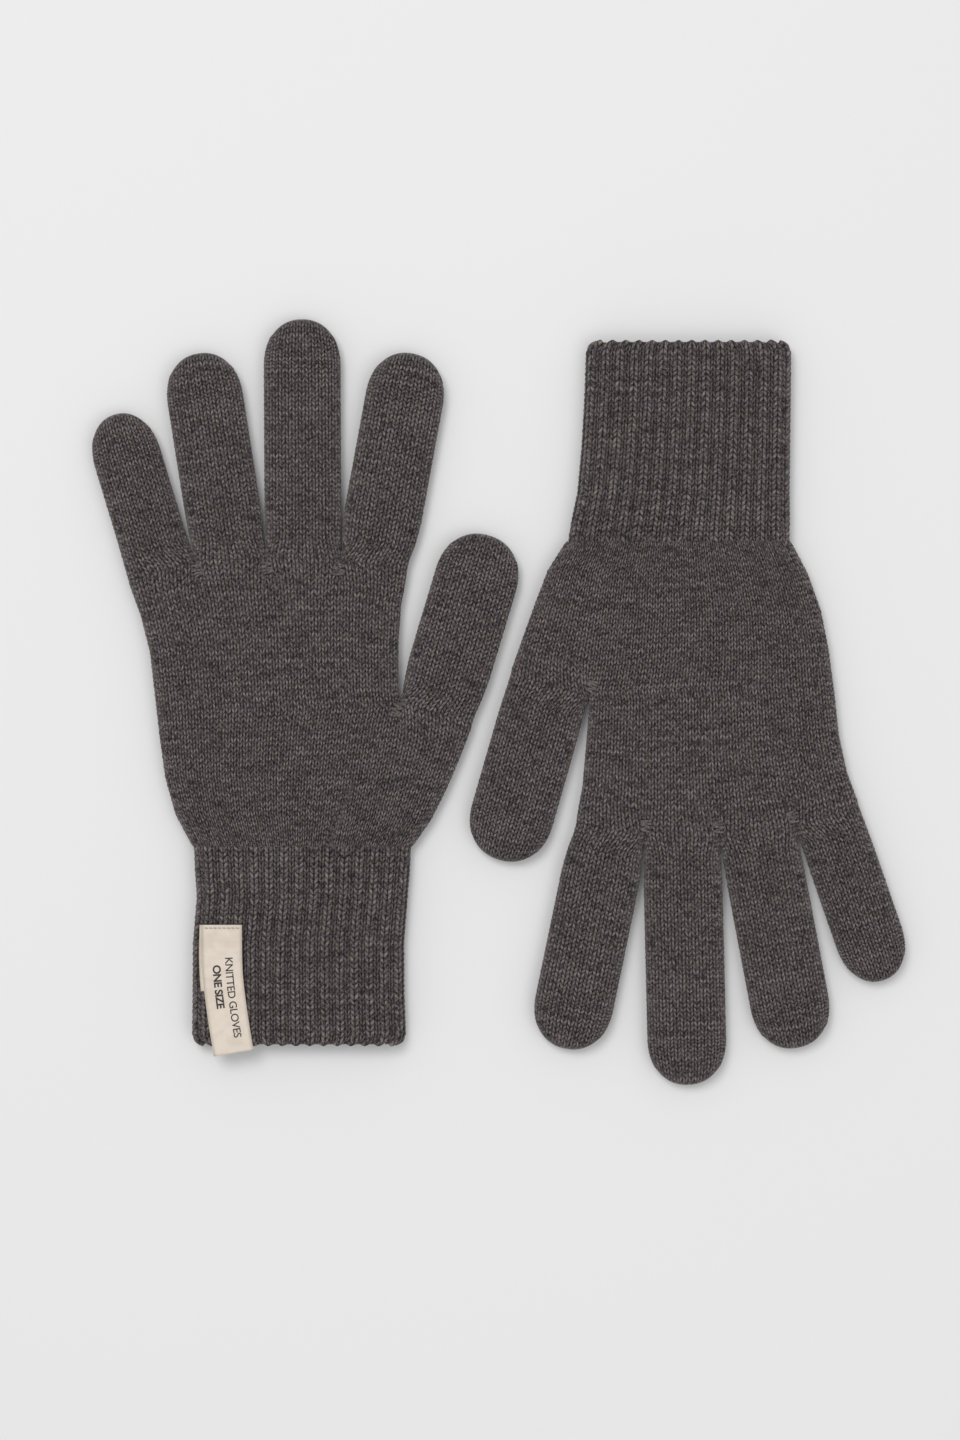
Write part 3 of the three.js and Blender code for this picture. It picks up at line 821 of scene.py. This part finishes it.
def make_cuff(glove, yarn):
    """The ribbed cuff: from inside the wrist down to a scalloped hem, then up the outside in ribs."""
    side = glove.side
    hem = Outline(glove, f"{side}_cuff_edge").points[:, 1].min() + HEM_SCALLOP
    courses = round((WRIST_LAP - hem) / CUFF_COURSE) - 1
    ring = cuff_rings(glove, hem, (courses + 1) * ROWS)

    def ribs(u, height):
        rib = CREST_RISE * crest_of(u) ** ROUNDNESS - crest_of(u - 1) ** ROUNDNESS
        near_wrist = smooth((height / ROWS - courses + RIB_FADE) / RIB_FADE)
        return rib * RIB_DEPTH * (1 - (1 - RIB_LEFT) * near_wrist)

    outer, pattern = stitch_grid(ring, courses, bottom_edge=True, wale_lift=ribs)
    u = pattern[0, :, 0]
    down = np.r_[-glove.up, 0]
    near_hem = 1 - smooth(pattern[..., 1] / HEM_COURSES)
    outer = outer + (near_hem * crest_of(u)[None, :] * HEM_SCALLOP)[..., None] * down
    wall = (ring - sealed(normals_of(ring)) * (CUFF_WALL + RIB_DEPTH * VALLEY_WALL))[::ROWS]
    wall[:, -1] = wall[:, 0]
    lip = outer[0] * 0.55 + wall[0] * 0.45 + down * HEM_DROP
    inner = np.concatenate([outer[-1:], wall[::-1], lip[None]])
    course = np.concatenate([[len(wall)], np.arange(len(wall))[::-1] + 0.5, [0.5]])
    inner_pattern = np.stack(np.broadcast_arrays(u[None, :], course[:, None]), -1)
    grid = np.concatenate([inner, outer]), np.concatenate([inner_pattern, pattern])
    name = f"{side}_cuff_knit"
    piece = finish_mesh(name, grid_mesh(name, [grid]), yarn)
    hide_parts(f"{side}_cuff", f"{side}_cuff_edge")
    glove.spot([0, 0])
    glove.spot([0, -CUFF_BEND])
    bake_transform(piece)


def strand(path, radius):
    """A two-ply strand of yarn that follows a path of points (n, 3), with its pattern places."""
    heading = np.gradient(path, axis=0)
    heading /= np.linalg.norm(heading, axis=1, keepdims=True)
    side = np.cross(heading, ASKEW)
    side /= np.linalg.norm(side, axis=1, keepdims=True)
    other = np.cross(heading, side)
    run = np.r_[0, np.cumsum(np.linalg.norm(np.diff(path, axis=0), axis=1))]
    angle = np.linspace(0, 2 * math.pi, STRAND_SIDES + 1)
    twist = run / radius * TWIST
    reach = radius * (1 + PLY_SWELL * np.cos(2 * (angle[None, :] - twist[:, None])))
    out = np.cos(angle)[None, :, None] * side[:, None] + np.sin(angle)[None, :, None] * other[:, None]
    p = path[:, None] + reach[..., None] * out
    p[:, -1] = p[:, 0]
    p[[0, -1]] = path[[0, -1], None]
    pattern = np.stack(np.broadcast_arrays(angle[None, :] / (2 * math.pi), (run / radius)[:, None]), -1)
    return p, pattern


def make_darn(glove, name, heading, yarn):
    """Yarn wound round the end of a crotch: uneven loops, side by side, through both faces of cloth."""
    node = f"{glove.side}_{name}_darn"
    low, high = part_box(node)
    centre = np.array((low + high) / 2)
    ahead = heading[0] * glove.right + heading[1] * glove.up
    ahead = np.r_[ahead / np.linalg.norm(ahead), 0]
    across = np.array([ahead[1], -ahead[0], 0])
    tall = (high.z - low.z) / 2 - YARN * 1.1
    angle = np.linspace(0, 2 * math.pi, DARN_POINTS)
    grids = []
    for i in range(DARN_STRANDS):
        off = (i - (DARN_STRANDS - 1) / 2) * DARN_SPREAD
        reach = DARN_REACH * (1 - DARN_TAPER * abs(i - 1.6))
        slant = DARN_SLANT * math.sin(2.4 * i + 0.7)
        sway = np.cos(angle) * reach
        rise = np.sign(np.sin(angle)) * np.abs(np.sin(angle)) ** 0.5 * (tall - DARN_STAGGER * (i % 2))
        path = centre + np.outer(sway, across) + np.outer(off + sway * slant, ahead)
        path[:, 2] += rise
        grids.append(strand(path, YARN))
    piece = finish_mesh(f"{node}_yarn", grid_mesh(f"{node}_yarn", grids), yarn)
    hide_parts(node)
    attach(piece, f"{glove.side}_hand")


# ------------------------------------------------------------------------------- the labels

class Tape:
    """A strip of label tape, placed as its node is: across is from its middle, along from its top."""

    def __init__(self, node, lies_at, hang):
        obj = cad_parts[node]
        plan = np.unique(np.array([v.co[:2] for v in obj.data.vertices]).round(7), axis=0)
        pairs = plan[np.argsort(-plan[:, 1])].reshape(-1, 2, 2)
        pairs = np.array([pair[np.argsort(pair[:, 0])] for pair in pairs])
        self.node = node
        self.centre = pairs.mean(1)
        steps = np.linalg.norm(np.diff(self.centre, axis=0), axis=1)
        self.run = np.r_[0, np.cumsum(steps)]
        self.length = self.run[-1]
        self.width = np.linalg.norm(pairs[:, 1] - pairs[:, 0], axis=1).mean()
        self.lies_at, self.hang = lies_at, hang

    def middle(self, along):
        """Places in plan along the middle of the tape."""
        return np.stack([np.interp(along, self.run, self.centre[:, i]) for i in range(2)], -1)

    def at(self, along, across, lift=0.0):
        """Places on the tape's upper face, which ripples a little and curls up at its free end."""
        along, across = np.broadcast_arrays(along, across)
        s = np.clip(along, 0, self.length)
        chord = self.middle(s + CHORD) - self.middle(s - CHORD)
        heading = chord / np.linalg.norm(chord, axis=-1, keepdims=True)
        side = np.stack([-heading[..., 1], heading[..., 0]], -1)
        plan = self.middle(s) + side * across[..., None]
        t = s / self.length
        w = across / self.width
        ripple = 0.22 * np.sin(9 * t + 1.2 + 2 * w) + 0.18 * np.cos(5.3 * t - 3 * w)
        curl = self.hang * smooth((t - CURL_START) / (1 - CURL_START)) * (1 + CURL_TILT * w)
        flat = smooth(t / SEWN_SHARE)
        z = self.lies_at + (ripple * RIPPLE + curl) * flat + lift
        return np.concatenate([plan, z[..., None]], -1)


def make_label(label, tape):
    """One label: a strip of tape that lies on the cuff and turns with the labels' hinge."""
    along = np.linspace(0, label.length, LABEL_ROWS)[:, None]
    across = np.linspace(-0.5, 0.5, LABEL_COLUMNS)[None, :] * label.width
    p = label.at(along, across)
    weave = np.stack(np.broadcast_arrays(across / MM, along / MM), -1)
    name = f"{label.node}_tape"
    piece = finish_mesh(name, grid_mesh(name, [(p, weave)], "weave"), tape)
    if piece.data.polygons[0].normal.z < 0:
        piece.data.flip_normals()
    solid = piece.modifiers.new("thickness", "SOLIDIFY")
    solid.thickness = TAPE
    solid.offset = -1
    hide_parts(label.node)
    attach(piece, "labels")


def make_lettering(label, words, bold, start, across, ink):
    """A line of generic lettering that reads down the label, from a share of its length on."""
    curve = bpy.data.curves.new("lettering", "FONT")
    curve.body = words
    curve.size = LETTER_HEIGHT / CAPITAL
    curve.extrude = LETTER_EXTRUDE
    curve.offset = BOLD if bold else LIGHT
    curve.space_character = TRACKING
    text = bpy.data.objects.new("lettering", curve)
    name = "label_lettering_" + ("bold" if bold else "light")
    mesh = bpy.data.meshes.new_from_object(text)
    mesh.name = name
    co = np.empty(len(mesh.vertices) * 3)
    mesh.vertices.foreach_get("co", co)
    co = co.reshape(-1, 3)
    placed = label.at(start * label.length + co[:, 0], across + co[:, 1], LETTER_LIFT + co[:, 2])
    mesh.vertices.foreach_set("co", placed.ravel())
    bm = bmesh.new()
    bm.from_mesh(mesh)
    bmesh.ops.remove_doubles(bm, verts=bm.verts, dist=WELD)
    bmesh.ops.recalc_face_normals(bm, faces=bm.faces)
    bm.to_mesh(mesh)
    bm.free()
    bpy.data.objects.remove(text)
    mesh.materials.clear()
    piece = finish_mesh(name, mesh, ink)
    mesh.polygons.foreach_set("use_smooth", np.zeros(len(mesh.polygons), bool))
    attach(piece, "labels")


def make_seam(label, sewing):
    """The running stitches just below the label's top edge."""
    low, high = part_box("label_thread")
    wide = (high.x - low.x) / SEAM_STITCHES
    down = label.centre[0, 1] - (low.y + high.y) / 2
    middle = (low.x + high.x) / 2 - label.centre[0, 0]
    t = np.linspace(-1, 1, 11)
    grids = []
    for i in range(SEAM_STITCHES):
        across = middle + ((i - (SEAM_STITCHES - 1) / 2) + t * STITCH_SHARE) * wide
        path = label.at(down + SEAM_SLANT * t, across)
        path[:, 2] += SEWING * (STITCH_ARCH * (1 - t ** 4) - 1)
        grids.append(strand(path, SEWING))
    piece = finish_mesh("label_seam", grid_mesh("label_seam", grids), sewing)
    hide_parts("label_thread")
    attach(piece, "labels")


# ------------------------------------------------------------------------------- scene

def make_camera():
    """A camera straight above the pair."""
    data = bpy.data.cameras.new("camera")
    data.lens, data.sensor_width = LENS, SENSOR
    camera = bpy.data.objects.new("camera", data)
    bpy.context.scene.collection.objects.link(camera)
    camera.location = (VIEW_CENTRE.x, VIEW_CENTRE.y, start_high.z / 2 + VIEW_LONG_SIDE * LENS / SENSOR)
    bpy.context.scene.camera = camera


def make_stage():
    """Pale ground, a key and a fill lamp, and an even white sky."""
    bm = bmesh.new()
    bmesh.ops.create_grid(bm, x_segments=1, y_segments=1, size=3)
    mesh = bpy.data.meshes.new("ground")
    bm.to_mesh(mesh)
    bm.free()
    ground = bpy.data.objects.new("ground", mesh)
    ground.location.z = -GROUND_DROP
    bpy.context.scene.collection.objects.link(ground)
    m = Maker("ground")
    mesh.materials.append(m.finish(GROUND, Roughness=0.9, Specular_IOR_Level=0.1))
    for name, place, size, power in LAMPS:
        light = bpy.data.lights.new(name, "AREA")
        light.size, light.energy = size, power
        lamp = bpy.data.objects.new(name, light)
        bpy.context.scene.collection.objects.link(lamp)
        lamp.location = place
        lamp.rotation_euler = (-Vector(place)).to_track_quat("-Z", "Y").to_euler()
    world = bpy.data.worlds.new("world")
    world.use_nodes = True
    background = world.node_tree.nodes["Background"]
    background.inputs["Color"].default_value = (1, 1, 1, 1)
    background.inputs["Strength"].default_value = SKY
    bpy.context.scene.world = world
    bpy.context.scene.view_settings.view_transform = "Standard"


make_camera()
make_stage()
yarn = marled_yarn("marled_yarn")
rib_yarn = marled_yarn("marled_rib_yarn", ribbed=True)
darning = marled_yarn("marled_darning_yarn", paint_groove_shade=False)
for side in SIDES:
    glove = Glove(side)
    roots, firsts = make_digits(glove, yarn)
    make_hand(glove, roots, firsts, yarn)
    make_cuff(glove, rib_yarn)
    for name, crotch in zip(("little_ring", "ring_middle", "middle_index"), glove.crotches):
        make_darn(glove, name, crotch, darning)
    make_darn(glove, "thumb", THUMB_DARN, darning)

cuff_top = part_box("left_cuff")[1].z
tape = ribbon()
care = Tape("care_label", cuff_top + CARE_LIFT, 0.0)
size = Tape("size_label", cuff_top + SIZE_LIFT, CURL)
for label in (care, size):
    make_label(label, tape)
ink = thread("lettering_thread", (0.035, 0.03, 0.028), 0.7)
for line in LINES:
    make_lettering(size, *line, ink)
make_seam(size, thread("sewing_thread", (0.72, 0.67, 0.58), 0.6))
